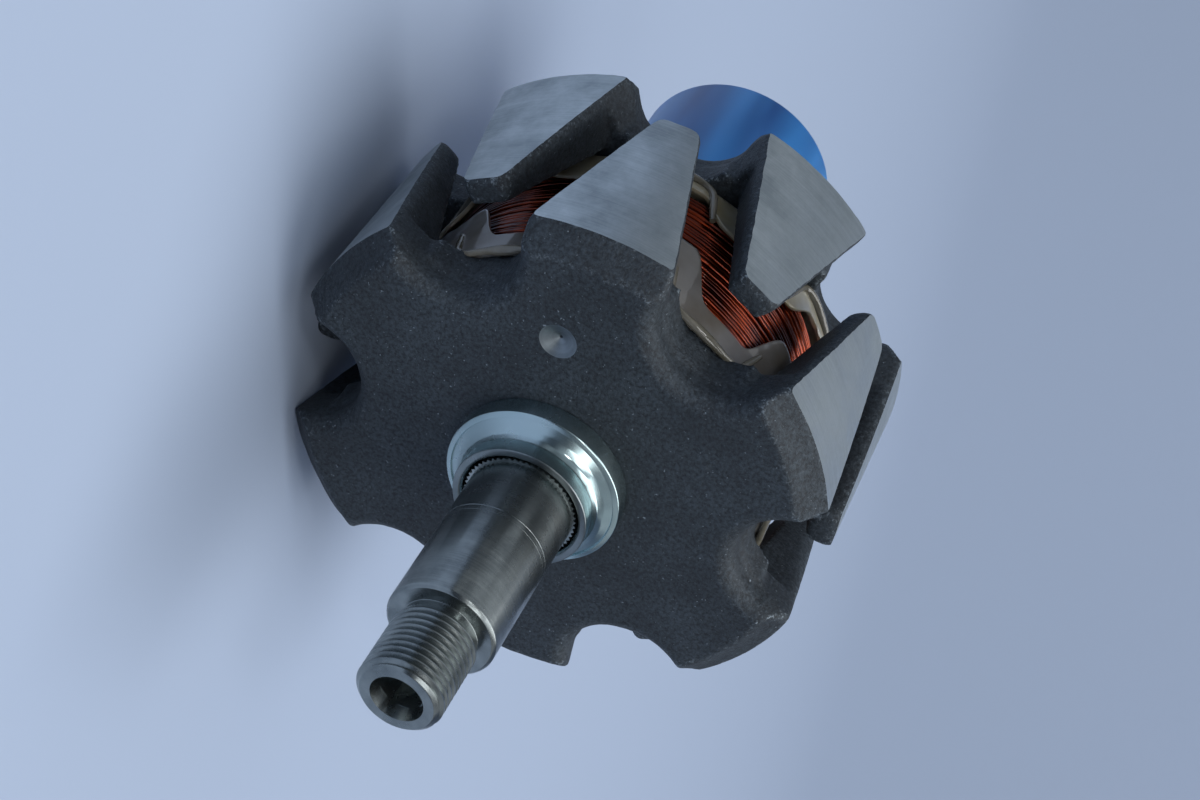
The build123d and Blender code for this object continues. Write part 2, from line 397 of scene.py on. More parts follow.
def turned_about_shaft(tree, shader):
    """Run the tool marks round the shaft, so highlights are drawn out across them."""
    grooves = add_node(tree, "ShaderNodeTangent", direction_type="RADIAL", axis="Y")
    tree.links.new(grooves.outputs[0], shader.inputs["Tangent"])
    shader.inputs["Anisotropic Rotation"].default_value = 0.25


def ground_steel(name, light, dark, roughness, grit, anisotropic=0.5):
    """Steel ground or turned about the shaft: satin, with lines as fine as the grit and faint stains."""
    material, tree, shader, place = new_material(name, Metallic=1.0, Anisotropic=anisotropic)
    turned_about_shaft(tree, shader)
    # The lines run round the shaft, so the pattern is fine along it and coarse across it
    stretch = add_node(tree, "ShaderNodeMapping", {"Vector": place, "Scale": (60, 1 / grit, 60)})
    fine = {"Vector": stretch.outputs[0], "Scale": 1.0, "Detail": 3.0}
    lines = add_node(tree, "ShaderNodeTexNoise", fine)
    stains = noise_at(tree, place, 5.0, 5.0, 0.65)
    mixed = add_node(
        tree, "ShaderNodeMath", {0: lines.outputs["Fac"], 1: 0.35, 2: stains}, operation="MULTIPLY_ADD"
    )
    tone = stretched(tree, mixed.outputs[0], 0.5, 0.86)
    tree.links.new(mixed_colour(tree, tone, dark, light), shader.inputs["Base Color"])
    rough = stretched(tree, stains, 0.35, 0.65, roughness + 0.07, roughness - 0.05)
    tree.links.new(rough, shader.inputs["Roughness"])
    bumped(tree, shader, lines.outputs["Fac"], 0.15, 0.01)
    return material


def zinc_plate(colours):
    """Bright zinc plate on a turned collar: bluish white, its highlights drawn across the turning."""
    material, tree, shader, place = new_material("bright_zinc_plate", Metallic=1.0, Anisotropic=0.75)
    turned_about_shaft(tree, shader)
    haze = noise_at(tree, place, 5.0, 4.0)
    tone = mixed_colour(tree, haze, colours.zinc_dull, colours.zinc_bright)
    tree.links.new(tone, shader.inputs["Base Color"])
    tree.links.new(stretched(tree, haze, 0.35, 0.65, 0.16, 0.28), shader.inputs["Roughness"])
    return material


def copper_wire(colours):
    """Enamelled copper wire: metal under dark amber enamel and varnish, glossy along each turn."""
    material, tree, shader, place = new_material(
        "enamelled_copper_wire", Metallic=1.0, Roughness=0.3, Coat_Weight=0.5, Coat_Roughness=0.1
    )
    drift = stretched(tree, noise_at(tree, place, 3.0, 4.0), 0.35, 0.65)
    tone = mixed_colour(tree, drift, colours.copper_deep, colours.copper_bright)
    tree.links.new(tone, shader.inputs["Base Color"])
    return material


def dipped_insulation(name, pale, deep):
    """Sheet insulation dipped in varnish: milky and half clear, browner where the varnish is thick."""
    material, tree, shader, place = new_material(
        name,
        Roughness=0.3,
        Subsurface_Weight=0.3,
        Subsurface_Radius=(1.2 * MM, 1.0 * MM, 0.7 * MM),
        Subsurface_Scale=1.0,
        Coat_Weight=1.0,
        Coat_Roughness=0.05,
    )
    cloud = stretched(tree, noise_at(tree, place, 6.0, 4.0), 0.36, 0.64)
    tree.links.new(mixed_colour(tree, cloud, pale, deep), shader.inputs["Base Color"])
    bumped(tree, shader, noise_at(tree, place, 2.5, 1.0), 0.5, 0.35, coat=True)
    return material


def varnish_bead():
    """A bead of cured varnish: grey-brown over the metal, wet looking, with sharp highlights."""
    material, tree, shader, place = new_material(
        "cured_varnish_bead", Roughness=0.05, Transmission_Weight=0.35, IOR=1.6
    )
    depth = stretched(tree, noise_at(tree, place, 3.0, 3.0), 0.35, 0.65)
    tree.links.new(mixed_colour(tree, depth, "#5F5B4E", "#8C887D"), shader.inputs["Base Color"])
    bumped(tree, shader, noise_at(tree, place, 1.6, 1.0), 0.6, 0.3)
    return material


def blue_polythene(colours):
    """Moulded polythene: blue and waxy, slightly see-through at the surface, with long bands of painted
    reflection along the cap.
    """
    material, tree, shader, place = new_material(
        "moulded_blue_polythene",
        Roughness=0.34,
        Subsurface_Weight=0.15,
        Subsurface_Radius=(0.4 * MM, 0.8 * MM, 2.0 * MM),
        Subsurface_Scale=1.0,
    )
    # Lighter and darker bands stretched along the shaft's axis are painted reflections on the cap
    painted_reflection = add_node(tree, "ShaderNodeMapping", {"Vector": place, "Scale": (1, 0.15, 1)})
    streaks = stretched(tree, noise_at(tree, painted_reflection.outputs[0], 6.0, 2.0), 0.35, 0.65)
    tone = mixed_colour(tree, streaks, colours.cap_deep, colours.cap_pale)
    tree.links.new(tone, shader.inputs["Base Color"])
    return material


def phenolic():
    """Moulded phenolic resin: near black, with a dull gloss and fine filler grain."""
    material, tree, shader, place = new_material("moulded_phenolic", Roughness=0.45)
    tone = mixed_colour(tree, noise_at(tree, place, 0.6), "#0E0E10", "#232326")
    tree.links.new(tone, shader.inputs["Base Color"])
    return material


def woven_sleeving():
    """Woven glass sleeving soaked in varnish: straw coloured, with a braid of about 0.6 mm."""
    material, tree, shader, place = new_material(
        "varnished_glass_sleeving", Roughness=0.4, Coat_Weight=0.4
    )
    braid = add_node(
        tree,
        "ShaderNodeTexWave",
        {"Vector": place, "Scale": 1 / (0.6 * MM) / 20, "Distortion": 2.0},
        bands_direction="DIAGONAL",
    )
    tone = mixed_colour(tree, braid.outputs["Fac"], "#8E8055", "#D2C79C")
    tree.links.new(tone, shader.inputs["Base Color"])
    bumped(tree, shader, braid.outputs["Fac"], 0.6, 0.15)
    return material


# Pieces

# Places of the pole halves' materials
GROUND, DRILLED = 1, 2


def first_valley(sizes, side):
    """Angle of the first valley of the front half (side 1) or of the rear half (side -1)."""
    return sizes.front_claw - (tau / sizes.claws / 2 if side > 0 else 0)


def valley_angles(sizes, side):
    """Angles of all the valleys of one half."""
    return [first_valley(sizes, side) + number * tau / sizes.claws for number in range(sizes.claws)]


def valley_web(sizes, side):
    """The metal that rounds each valley between two arms into a full U."""
    face = sizes.middle + side * sizes.half_stack
    back = face - side * sizes.disc
    reach = sizes.valley_place - 0.4 * sizes.valley
    web = rod(reach, back, face, segments=180)
    for turn in valley_angles(sizes, side):
        cutter = rod(
            sizes.valley - MM, back - side * MM, face + side * MM, far_radius=sizes.valley, segments=72
        )
        bmesh.ops.translate(cutter, verts=cutter.verts, vec=spot(0, sizes.valley_place, turn))
        web = combined(web, cutter, "DIFFERENCE")
    return web


def valley_flare(sizes, side, turn):
    """The cut that turns the mouth of one valley into a wide soft slope."""
    face = sizes.middle + side * sizes.half_stack
    # Depth below the face, and how much wider than the valley the cut is there, in millimetres
    slope = ((-1.0, 3.0), (0.0, 2.7), (0.6, 1.5), (1.6, 0.5), (2.8, 0.1), (6.0, 0.0))
    flare = lathe(
        [(face - side * slope[0][0] * MM, 0)]
        + [(face - side * deep * MM, sizes.valley + wide * MM) for deep, wide in slope]
        + [(face - side * slope[-1][0] * MM, 0)],
        steps=72,
        closed=False,
    )
    bmesh.ops.translate(flare, verts=flare.verts, vec=spot(0, sizes.valley_place, turn))
    return flare


def pressed_point(bm, sizes, radius, depth, from_shaft, turn, polished=False):
    """The forging with a point sunk in its front face; a polished one shows bare metal."""
    face = sizes.middle + sizes.half_stack
    proud = 0.2 * depth
    point = rod(radius * 1.2, face + proud, face - depth, far_radius=0, segments=48)
    centre = spot(0, from_shaft, turn)
    bmesh.ops.translate(point, verts=point.verts, vec=centre)
    bm = combined(bm, point, "DIFFERENCE")
    if polished:
        for polygon in bm.faces:
            middle = polygon.calc_center_median()
            off = hypot(middle.x - centre.x, middle.z - centre.z)
            sunk = -middle.y > face - depth - 0.1 * MM and abs(polygon.normal.y) < 0.95
            if off < radius * 1.05 and sunk:
                polygon.material_index = DRILLED
    return bm


def forge(node_name, name, sizes, side, materials):
    """The forging as it left the die, with soft edges and a pitted skin, then ground at its rim."""
    bm = bmesh.new()
    bm.from_mesh(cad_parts[node_name].data)
    bmesh.ops.remove_doubles(bm, verts=bm.verts, dist=MM / 1000)
    for vert in bm.verts:
        radius = from_axis(vert.co)
        if radius > sizes.rim - 0.05 * MM:
            scale_across(vert.co, (radius + sizes.stock) / radius)
    bm = combined(bm, valley_web(sizes, side), "UNION")
    for turn in valley_angles(sizes, side):
        bm = combined(bm, valley_flare(sizes, side, turn), "DIFFERENCE")
    blank = loose_object(bm, "blank")
    remesh = blank.modifiers.new("skin", "REMESH")
    remesh.mode = "VOXEL"
    remesh.voxel_size = sizes.grain
    soften = blank.modifiers.new("soft edges", "SMOOTH")
    soften.factor = 0.5
    soften.iterations = 6
    bm = taken_back(blank)
    bm.normal_update()
    front, rear = -sizes.half_stack - sizes.middle, sizes.half_stack - sizes.middle
    for vert in bm.verts:
        wander = noise.fractal(vert.co / (5 * MM), 1.0, 2.0, 3) * sizes.waviness
        pits = noise.fractal(vert.co / (1.5 * MM), 1.0, 2.0, 2) * sizes.pitting
        vert.co += vert.normal * (wander + pits) * 0.5
        # Nothing stands proud of the flat faces
        vert.co.y = max(min(vert.co.y, rear), front)
    ends = (sizes.middle - 2 * sizes.half_stack, sizes.middle + 2 * sizes.half_stack)
    bm = combined(bm, rod(sizes.rim, *ends, segments=360), "INTERSECT")
    if side > 0:
        place = (sizes.dimple_radius, sizes.dimple_angle)
        bm = pressed_point(bm, sizes, sizes.dimple, sizes.dimple_depth, *place, polished=True)
        bm = pressed_point(bm, sizes, 0.22 * sizes.dimple, 1.5 * sizes.dimple_depth, *place)
        bm = pressed_point(bm, sizes, sizes.dent, sizes.dent_depth, sizes.dent_radius, sizes.dent_angle)
    for polygon in bm.faces:
        middle = polygon.calc_center_median()
        if from_axis(middle) > sizes.rim - 0.02 * MM and abs(polygon.normal.y) < 0.5:
            polygon.material_index = GROUND
    piece = finish_piece(name, bm, materials, [node_name], crease=35)

    # The ground faces are parts of one cylinder, so they are shaded as one
    mesh = piece.data
    normals = [Vector((0, 0, 0))] * len(mesh.loops)
    for polygon in mesh.polygons:
        if polygon.material_index == GROUND:
            for loop in polygon.loop_indices:
                place = mesh.vertices[mesh.loops[loop].vertex_index].co
                normals[loop] = Vector((place.x, 0, place.z)).normalized()
    mesh.normals_split_custom_set(normals)
    return piece


class ROTOR_OT_pole_halves(bpy.types.Operator):
    """Forge both pole halves, then grind their rims"""

    bl_idname = "rotor.pole_halves"
    bl_label = "Pole halves"

    def execute(self, context):
        sizes = context.scene.rotor_poles
        materials = [
            blasted_forging(),
            ground_steel("ground_rim_steel", "#BCC4C6", "#969FA3", 0.4, 0.3 * MM, 0.3),
            ground_steel("drilled_point_steel", "#878F94", "#656D72", 0.42, 0.3 * MM, 0.2),
        ]
        forge("front_pole_half", "front_pole_forging", sizes, 1, materials)
        forge("rear_pole_half", "rear_pole_forging", sizes, -1, materials)
        return {"FINISHED"}


def scribed(station, radius, depth):
    """Profile points of a fine V groove."""
    return [(station + depth, radius), (station, radius - depth), (station - depth, radius)]


class ROTOR_OT_shaft(bpy.types.Operator):
    """Turn the shaft, cut its thread and its hexagon socket"""

    bl_idname = "rotor.shaft"
    bl_label = "Shaft"

    def execute(self, context):
        sizes = context.scene.rotor_shaft
        relief_end = sizes.shoulder + sizes.relief
        seat_end = -76.0 * MM
        tail_radius = 8.5 * MM
        root = sizes.thread - sizes.thread_depth
        body = lathe(
            [
                (sizes.end, 0),
                (sizes.end, sizes.thread - 1.1 * MM),
                (sizes.end - 1.1 * MM, sizes.thread),
                (relief_end, sizes.thread),
                (relief_end - 0.5 * MM, root),
                (sizes.shoulder, root),
                (sizes.shoulder, sizes.journal - 0.6 * MM),
                (sizes.shoulder - 0.6 * MM, sizes.journal),
                *scribed(sizes.scribe + 1.2 * MM, sizes.journal, 0.03 * MM),
                *scribed(sizes.scribe, sizes.journal, 0.09 * MM),
                (sizes.seat_start, sizes.journal),
                (sizes.seat_start - 0.3 * MM, sizes.journal + 0.2 * MM),
                (seat_end, sizes.journal + 0.2 * MM),
                (seat_end, tail_radius),
                (sizes.tail, tail_radius),
                (sizes.tail, 0),
            ],
            rounding=0.12 * MM,
            closed=False,
        )

        # The thread's groove, run out into the relief behind it
        groove = bmesh.new()
        top, bottom = 0.44 * sizes.pitch, 0.08 * sizes.pitch
        start = sizes.end + sizes.pitch
        outline = [
            (start - top, sizes.thread + 0.1 * MM),
            (start + top, sizes.thread + 0.1 * MM),
            (start + bottom, root),
            (start - bottom, root),
        ]
        corners = [groove.verts.new((radius, -station, 0)) for station, radius in outline]
        groove.faces.new(corners)
        turns = int((start - relief_end) / sizes.pitch) + 1
        steps = 72
        bmesh.ops.spin(
            groove,
            geom=groove.verts[:] + groove.edges[:] + groove.faces[:],
            cent=(0, 0, 0),
            axis=(0, 1, 0),
            dvec=(0, sizes.pitch / steps, 0),
            angle=tau * turns,
            steps=steps * turns,
        )
        bmesh.ops.recalc_face_normals(groove, faces=groove.faces)
        body = combined(body, groove, "DIFFERENCE")

        corner = sizes.socket / 2 / cos(radians(30))
        body = combined(body, rod(corner, sizes.end - sizes.socket_depth, sizes.end + MM), "DIFFERENCE")
        sink = rod(
            sizes.socket_mouth + 0.3 * MM,
            sizes.end + MM,
            sizes.end - 2.4 * MM,
            far_radius=sizes.socket_mouth - 0.7 * MM,
            segments=96,
        )
        body = combined(body, sink, "DIFFERENCE")
        steel = ground_steel("ground_shaft_steel", "#979D9C", "#6C7375", 0.24, 0.25 * MM, 0.7)
        finish_piece("turned_shaft", body, [steel], ["shaft"])

        # Knurl that shows as a ring of teeth inside the collar's mouth
        knurl = lathe(
            [
                (sizes.seat_start, sizes.journal),
                (sizes.seat_start, sizes.seat - 0.15 * MM),
                (sizes.seat_start - 0.3 * MM, sizes.seat),
                (-sizes.collar, sizes.seat),
                (-sizes.collar, sizes.journal),
            ],
            steps=2 * sizes.teeth,
        )
        between_teeth = sizes.journal + 0.25 * MM
        for vert in knurl.verts:
            turn = atan2(vert.co.z, vert.co.x) / tau * 2 * sizes.teeth
            if round(turn) % 2 and from_axis(vert.co) > sizes.journal + 0.1 * MM:
                scale_across(vert.co, between_teeth / from_axis(vert.co))
        finish_piece("knurled_seat", knurl, [steel])
        return {"FINISHED"}


class ROTOR_OT_collar(bpy.types.Operator):
    """Turn the plated collar"""

    bl_idname = "rotor.collar"
    bl_label = "Collar"

    def execute(self, context):
        sizes = context.scene.rotor_shaft
        back = -sizes.collar
        rim = back + sizes.flange_length
        step = rim + 1.3 * MM
        lead_in, grip = -0.6 * MM, back + 4 * MM
        body = lathe(
            [
                (back, sizes.seat),
                (back, sizes.flange),
                (rim, sizes.flange),
                (rim + 0.35 * MM, sizes.flange - 1.0 * MM),
                (rim + 0.1 * MM, sizes.flange - 1.1 * MM),
                (step - 0.35 * MM, sizes.nose + 1.4 * MM),
                (step + 0.5 * MM, sizes.nose + 0.4 * MM),
                (step + 1.6 * MM, sizes.nose),
                (0, sizes.nose),
                (0, sizes.bore + 0.5 * MM),
                (lead_in, sizes.bore),
                (grip, sizes.bore),
                (grip, sizes.seat),
            ],
            rounding=0.22 * MM,
        )
        nose = ground_steel("ground_nose_steel", "#868E90", "#697073", 0.3, 0.2 * MM)
        for face in body.faces:
            middle = face.calc_center_median()
            if -middle.y > -0.2 * MM and from_axis(middle) > sizes.bore + 0.3 * MM:
                face.material_index = 1
        plate = zinc_plate(context.scene.rotor_colours)
        finish_piece("plated_collar", body, [plate, nose], ["front_collar"])
        return {"FINISHED"}


def wind(sizes, radius, start, turns, seed):
    """One layer of round wire laid turn beside turn, with a little play."""
    steps = 72
    bm = bmesh.new()
    bmesh.ops.create_circle(
        bm,
        segments=6,
        radius=sizes.wire / 2,
        matrix=Matrix.Translation((radius, start, 0)),
        cap_ends=True,
    )
    bmesh.ops.spin(
        bm,
        geom=bm.verts[:] + bm.edges[:] + bm.faces[:],
        cent=(0, 0, 0),
        axis=(0, 1, 0),
        dvec=(0, sizes.wire / steps, 0),
        angle=tau * turns,
        steps=steps * turns,
    )
    bmesh.ops.recalc_face_normals(bm, faces=bm.faces)
    # Each turn lies a little high, low or aside, and the last turns are the loosest
    for vert in bm.verts:
        part = (-atan2(vert.co.z, vert.co.x) / tau) % 1
        along = part + round((vert.co.y - start) / sizes.wire - part)
        loose = 1 + 1.6 * (along / turns) ** 2
        rise = noise.noise(Vector((along * 1.1, seed, 0))) * 0.42 * MM * loose - 0.1 * MM
        rise = min(rise, 0.35 * MM)
        shift = noise.noise(Vector((along * 0.9, seed, 5))) * 0.16 * MM * loose
        scale_across(vert.co, (radius + rise) / radius)
        vert.co.y += shift
    return bm


class ROTOR_OT_winding(bpy.types.Operator):
    """Wind the field coil"""

    bl_idname = "rotor.winding"
    bl_label = "Winding"

    def execute(self, context):
        sizes = context.scene.rotor_winding
        poles = context.scene.rotor_poles
        wire = copper_wire(context.scene.rotor_colours)
        turns = int(2 * sizes.half_length / sizes.wire) - 1
        first = -poles.middle - sizes.half_length + sizes.wire / 2
        outer = sizes.radius - sizes.wire / 2 - 0.25 * MM
        # Round wire beds into the layer below by 0.13 of its diameter
        inner = outer - 0.87 * sizes.wire
        layer = wind(sizes, outer, first, turns, 1)
        finish_piece("outer_wire_layer", layer, [wire], crease=80)
        layer = wind(sizes, inner, first + sizes.wire / 2, turns - 1, 2)
        finish_piece("second_wire_layer", layer, [wire], crease=80)
        inside = inner - sizes.wire / 2
        hub = 25.6 * MM
        ends = (poles.middle - sizes.half_length, poles.middle + sizes.half_length)
        core = lathe([(ends[0], hub), (ends[0], inside), (ends[1], inside), (ends[1], hub)])
        finish_piece("wound_core", core, [wire], ["field_coil"])
        return {"FINISHED"}


def skirt(name, sizes, poles, side, cut, lip, material, replaced):
    """The moulded cheek: a collar at the pole half and a skirt cut back in a U in each notch."""
    bm = bmesh.new()
    first_notch = first_valley(poles, side)
    far = 17.3 * MM
    radius = sizes.skirt - sizes.wall / 2
    steps_along = 14
    profile = [
        (far, 36 * MM),
        (far, sizes.skirt - 1.6 * MM),
        (far - 0.5 * MM, sizes.skirt - 0.6 * MM),
        *((far * (1 - step / steps_along), radius) for step in range(1, steps_along + 1)),
    ]
    start = first_notch - radians(30)
    corners = [bm.verts.new(spot(poles.middle + side * place, r, start)) for place, r in profile]
    for pair in zip(corners, corners[1:]):
        bm.edges.new(pair)
    steps_per_notch = 40
    bmesh.ops.spin(
        bm,
        geom=bm.verts[:] + bm.edges[:],
        cent=(0, 0, 0),
        axis=(0, -1, 0),
        angle=tau,
        steps=steps_per_notch * poles.claws,
        use_merge=True,
    )

    # Each U is a little off the middle of its notch: half its floor's width, then the rise of its sides
    off_middle, floor_width, rise = radians(-3.5), radians(7.0), radians(9.6)
    for vert in bm.verts:
        place = side * (-vert.co.y - poles.middle)
        if place > far - 0.6 * MM:
            continue
        turn = atan2(vert.co.z, vert.co.x)
        notch = round((turn - first_notch) / (tau / poles.claws))
        off = turn - first_notch - notch * tau / poles.claws
        shift = off_middle + radians(2) * noise.noise(Vector((notch * 3.1, side * 7.7, 1)))
        reach = max(0.0, min(1.0, (abs(off - shift) - floor_width) / rise))
        reach = reach * reach * (3 - 2 * reach)
        ragged = 0.5 * MM * noise.noise(vert.co / (4 * MM))
        edge = cut + (lip - cut) * reach + ragged
        part = (far - place) / far
        vert.co.y = -(poles.middle + side * (far + (edge - far) * part))
        curl = 0.6 + noise.noise(Vector((notch * 1.7, side * 3.3, off * 4)))
        bulge = 1.6 * MM * part * part * reach * curl
        ripple = 0.25 * MM * noise.noise(vert.co / (6 * MM))
        scale_across(vert.co, 1 + (bulge + ripple) / radius)
    bmesh.ops.recalc_face_normals(bm, faces=bm.faces)
    shell = loose_object(bm, "shell")
    wall = shell.modifiers.new("wall", "SOLIDIFY")
    wall.thickness = sizes.wall
    wall.offset = 0
    round_off = shell.modifiers.new("round", "SUBSURF")
    round_off.levels = round_off.render_levels = 1
    return finish_piece(name, taken_back(shell), [material], [replaced], crease=80)


# A bead's way round a notch: degrees from its middle, and millimetres from the middle of the stack
BEAD_ROUTE = (
    (16.0, 9.0),
    (14.0, 13.0),
    (12.6, 16.4),
    (8.5, 17.7),
    (3.0, 17.9),
    (-3.0, 17.9),
    (-8.5, 17.7),
    (-12.6, 16.4),
    (-14.0, 13.0),
    (-16.0, 9.0),
)


def varnish_run(sizes, poles, side):
    """Beads of varnish that pooled where the insulation meets the steel round each notch."""
    beads = bmesh.new()
    for notch, centre in enumerate(valley_angles(poles, side)):
        line = bpy.data.curves.new("bead", "CURVE")
        line.dimensions = "3D"
        line.bevel_depth = 1.0
        line.bevel_resolution = 3
        line.resolution_u = 8
        line.use_fill_caps = True
        path = line.splines.new("NURBS")
        path.points.add(len(BEAD_ROUTE) - 1)
        for number, (off, place) in enumerate(BEAD_ROUTE):
            swell = noise.noise(Vector((notch * 5.1 + number * 0.8, 3, side)))
            station = poles.middle + side * place * MM
            at = spot(station, sizes.skirt + 0.25 * MM, centre + radians(off))
            path.points[number].co = (*at, 1)
            path.points[number].radius = (0.75 + 0.7 * swell) * MM
        path.order_u = 3
        path.use_endpoint_u = True
        holder = bpy.data.objects.new("bead", line)
        mesh = bpy.data.meshes.new_from_object(holder)
        beads.from_mesh(mesh)
        bpy.data.objects.remove(holder)
        bpy.data.meshes.remove(mesh)
        bpy.data.curves.remove(line)
    bmesh.ops.remove_doubles(beads, verts=beads.verts, dist=MM / 1000)
    bmesh.ops.recalc_face_normals(beads, faces=beads.faces)
    return beads


class ROTOR_OT_insulation(bpy.types.Operator):
    """Mould the two insulating cheeks and run varnish beads along them"""

    bl_idname = "rotor.insulation"
    bl_label = "Insulation"

    def execute(self, context):
        sizes = context.scene.rotor_winding
        poles = context.scene.rotor_poles
        colours = context.scene.rotor_colours
        front = dipped_insulation("dipped_front_insulation", colours.front_pale, colours.front_deep)
        rear = dipped_insulation("dipped_rear_insulation", colours.rear_pale, colours.rear_deep)
        front_u = (sizes.front_cut, sizes.front_lip)
        rear_u = (sizes.rear_cut, sizes.rear_lip)
        skirt("front_insulation", sizes, poles, 1, *front_u, front, "front_cheek")
        skirt("rear_insulation", sizes, poles, -1, *rear_u, rear, "rear_cheek")
        varnish = varnish_bead()
        for name, side in (("front_varnish_bead", 1), ("rear_varnish_bead", -1)):
            beads = varnish_run(sizes, poles, side)
            finish_piece(name, beads, [varnish], crease=80)
        return {"FINISHED"}


class ROTOR_OT_cap(bpy.types.Operator):
    """Mould the push-on cap over the slip rings"""

    bl_idname = "rotor.cap"
    bl_label = "Cap"

    def execute(self, context):
        low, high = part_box("slip_ring_cap")
        outer = high.x
        mouth, closed_end = -low.y, -high.y
        wall = context.scene.rotor_shaft.cap_wall
        inner = outer - wall
        body = lathe(
            [
                (mouth, inner),
                (mouth, outer),
                (closed_end, outer),
                (closed_end, 0),
                (closed_end + wall, 0),
                (closed_end + wall, inner),
            ],
            rounding=0.7 * MM,
            closed=False,
        )
        bmesh.ops.bridge_loops(body, edges=[edge for edge in body.edges if edge.is_boundary])
        bmesh.ops.recalc_face_normals(body, faces=body.faces)
        plastic = blue_polythene(context.scene.rotor_colours)
        finish_piece("push_on_cap", body, [plastic], ["slip_ring_cap"])
        return {"FINISHED"}


class ROTOR_OT_plain_finishes(bpy.types.Operator):
    """Give the nodes that keep their CAD shape their own finish"""

    bl_idname = "rotor.plain_finishes"
    bl_label = "Plain finishes"

    def execute(self, context):
        spacer = ground_steel("turned_spacer_steel", "#8A949B", "#6E7880", 0.35, 0.25 * MM)
        copper = ground_steel("turned_ring_copper", "#D08A5E", "#B56C42", 0.3, 0.2 * MM)
        finishes = {
            "bobbin_tube": dipped_insulation("moulded_bobbin_tube", "#77736F", "#625A50"),
            "rear_spacer": spacer,
            "slip_ring_hub": phenolic(),
            "inner_slip_ring": copper,
            "outer_slip_ring": copper,
        }
        sleeving = woven_sleeving()
        wire = copper_wire(context.scene.rotor_colours)
        for number in (1, 2):
            finishes[f"lead_sleeve_{number}"] = sleeving
            finishes[f"lead_wire_{number}"] = wire
        for node_name, material in finishes.items():
            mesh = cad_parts[node_name].data
            mesh.materials.clear()
            mesh.materials.append(material)
        return {"FINISHED"}


def matt_paper(ground, colours):
    """Matt pale paper, painted a little darker where it lies flat than where it hangs: painted shade on
    the floor.
    """
    material, tree, shader, place = new_material("matt_pale_paper", Roughness=0.9)
    hanging = mixed_colour(tree, noise_at(tree, place, 4.0), "#B1BFD6", "#B5C3DA")
    height = add_node(tree, "ShaderNodeSeparateXYZ", {0: place}).outputs["Z"]
    # Painted shade: the flat floor fades into the lighter hanging paper over half a metre of height
    raised = stretched(tree, height, ground, ground + 0.5)
    tree.links.new(mixed_colour(tree, raised, colours.floor, hanging), shader.inputs["Base Color"])
    return material


def paper_sweep(ground, away):
    """A floor that curves up into a backdrop behind the rotor, turned to face the camera."""
    bm = bmesh.new()
    front = bm.edges.new([bm.verts.new((x, -4, 0)) for x in (-5, 5)])
    flat = bmesh.ops.extrude_edge_only(bm, edges=[front])["geom"]
    corners = [part for part in flat if isinstance(part, bmesh.types.BMVert)]
    bmesh.ops.translate(bm, verts=corners, vec=(0, 5, 0))
    far_edge = [edge for edge in bm.edges if all(vert.co.y > 0.9 for vert in edge.verts)]
    curve = bmesh.ops.spin(
        bm, geom=far_edge, cent=(0, 1, 1), axis=(1, 0, 0), angle=radians(90), steps=24
    )["geom_last"]
    top = [part for part in curve if isinstance(part, bmesh.types.BMEdge)]
    wall = bmesh.ops.extrude_edge_only(bm, edges=top)["geom"]
    corners = [part for part in wall if isinstance(part, bmesh.types.BMVert)]
    bmesh.ops.translate(bm, verts=corners, vec=(0, 0, 3))
    bmesh.ops.remove_doubles(bm, verts=bm.verts, dist=MM)
    bmesh.ops.rotate(bm, verts=bm.verts, cent=(0, 0, 0), matrix=Matrix.Rotation(-away, 3, "Z"))
    bmesh.ops.translate(bm, verts=bm.verts, vec=(0, 0, ground))
    bmesh.ops.recalc_face_normals(bm, faces=bm.faces)
    mesh = bpy.data.meshes.new("floor")
    bm.to_mesh(mesh)
    bm.free()
    mesh.shade_smooth()
    return bpy.data.objects.new("floor", mesh)


def pale_room():
    """A world whose brighter and darker patches give the metal something to reflect."""
    world = bpy.data.worlds.new("pale_room")
    world.use_nodes = True
    tree = world.node_tree
    direction = add_node(tree, "ShaderNodeTexCoord").outputs["Generated"]
    patches = add_node(tree, "ShaderNodeTexNoise", {"Vector": direction, "Scale": 2.0, "Detail": 1.0})
    # It is brightest above and behind the rotor
    height = add_node(
        tree, "ShaderNodeVectorMath", {0: direction, 1: (0.25, 0.45, 0.75)}, operation="DOT_PRODUCT"
    )
    glow = add_node(
        tree,
        "ShaderNodeMath",
        {0: height.outputs["Value"], 1: 0.4, 2: patches.outputs["Fac"]},
        operation="MULTIPLY_ADD",
    )
    room = mixed_colour(tree, stretched(tree, glow.outputs[0], 0.42, 0.86), "#434C58", "#E6EDF6")
    background = tree.nodes["Background"]
    tree.links.new(room, background.inputs["Color"])
    background.inputs["Strength"].default_value = 0.84
    return world


# Each lamp: name, place in metres, side in metres, watts
LAMPS = (
    ("overhead", (0.15, -0.15, 1.6), 1.6, 24.0),
    ("front_fill", (-0.4, -1.9, 1.2), 1.0, 12.0),
    ("small_window", (-1.1, -0.9, 1.0), 0.22, 3.0),
)

# The photograph's view: where the camera is, its right and its back; the picture is turned by a quarter
CAMERA_PLACE = Vector((-273.0, -278.8, 111.0)) * MM
CAMERA_RIGHT = Vector((-0.049, 0.365, 0.930))
CAMERA_BACK = Vector((-0.635, -0.730, 0.253))
CAMERA_LENS = 66.8
CAMERA_SENSOR = 36


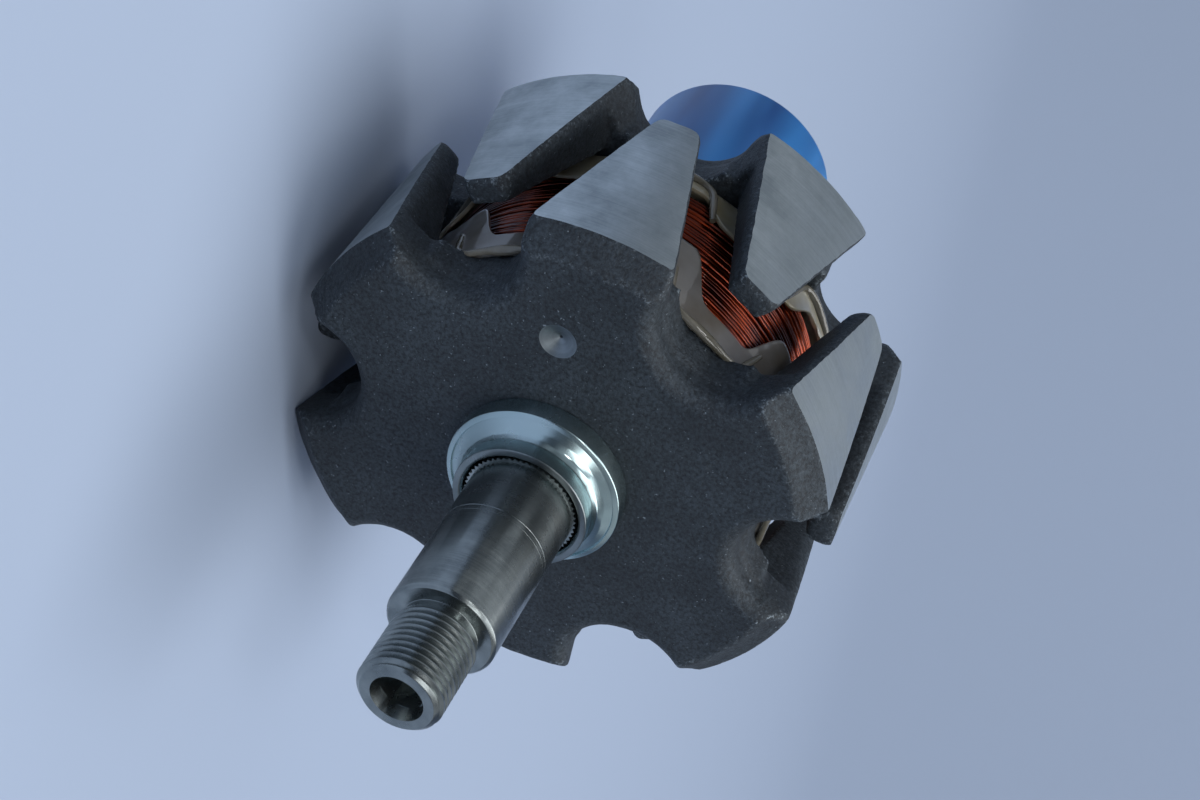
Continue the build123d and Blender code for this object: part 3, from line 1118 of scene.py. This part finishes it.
class ROTOR_OT_stage(bpy.types.Operator):
    """Set the pale floor, the soft lights and the camera"""

    bl_idname = "rotor.stage"
    bl_label = "Stage"

    def execute(self, context):
        scene = context.scene
        ground = cad_box[0][2]
        floor = paper_sweep(ground, atan2(-CAMERA_BACK.x, -CAMERA_BACK.y))
        scene.collection.objects.link(floor)
        floor.data.materials.append(matt_paper(ground, scene.rotor_colours))
        scene.world = pale_room()

        middle = Vector((0, 0.03, 0))
        for name, place, size, power in LAMPS:
            lamp = bpy.data.lights.new(name, "AREA")
            lamp.shape = "SQUARE"
            lamp.size = size
            lamp.energy = power
            holder = bpy.data.objects.new(name, lamp)
            holder.location = place
            holder.rotation_euler = (Vector(place) - middle).to_track_quat("Z", "Y").to_euler()
            scene.collection.objects.link(holder)

        camera = bpy.data.cameras.new("camera")
        camera.lens = CAMERA_LENS
        camera.sensor_width = CAMERA_SENSOR
        camera.sensor_fit = "HORIZONTAL"
        view = bpy.data.objects.new("camera", camera)
        back = CAMERA_BACK.normalized()
        right = (CAMERA_RIGHT - back * CAMERA_RIGHT.dot(back)).normalized()
        turn = Matrix((right, back.cross(right), back)).transposed().to_4x4()
        view.matrix_world = Matrix.Translation(CAMERA_PLACE) @ turn
        scene.collection.objects.link(view)
        scene.camera = view
        scene.view_settings.view_transform = "Standard"
        return {"FINISHED"}


PARTS = (
    ROTOR_OT_pole_halves,
    ROTOR_OT_shaft,
    ROTOR_OT_collar,
    ROTOR_OT_winding,
    ROTOR_OT_insulation,
    ROTOR_OT_cap,
    ROTOR_OT_plain_finishes,
    ROTOR_OT_stage,
)


class ROTOR_PT_panel(bpy.types.Panel):
    """The rotor's pieces in the sidebar"""

    bl_idname = "ROTOR_PT_panel"
    bl_label = "Alternator rotor"
    bl_space_type = "VIEW_3D"
    bl_region_type = "UI"
    bl_category = "Rotor"

    def draw(self, context):
        for part in PARTS:
            self.layout.operator(part.bl_idname)
        for group_name, kind in GROUPS.items():
            box = self.layout.box()
            for name in kind.__annotations__:
                box.prop(getattr(context.scene, group_name), name)


GROUPS = {
    "rotor_poles": RotorPoles,
    "rotor_shaft": RotorShaft,
    "rotor_winding": RotorWinding,
    "rotor_colours": RotorColours,
}


def register():
    """Register the groups, the operators and the panel."""
    for group in GROUPS.values():
        bpy.utils.register_class(group)
    for name, group in GROUPS.items():
        setattr(bpy.types.Scene, name, bpy.props.PointerProperty(type=group))
    for part in PARTS:
        bpy.utils.register_class(part)
    bpy.utils.register_class(ROTOR_PT_panel)


def unregister():
    """Take them all out again, last first."""
    bpy.utils.unregister_class(ROTOR_PT_panel)
    for part in reversed(PARTS):
        bpy.utils.unregister_class(part)
    for name, group in GROUPS.items():
        delattr(bpy.types.Scene, name)
        bpy.utils.unregister_class(group)


def main():
    """Build the rotor and its stage."""
    register()
    bpy.ops.rotor.pole_halves()
    bpy.ops.rotor.shaft()
    bpy.ops.rotor.collar()
    bpy.ops.rotor.winding()
    bpy.ops.rotor.insulation()
    bpy.ops.rotor.cap()
    bpy.ops.rotor.plain_finishes()
    bpy.ops.rotor.stage()


if __name__ == "__main__":
    main()
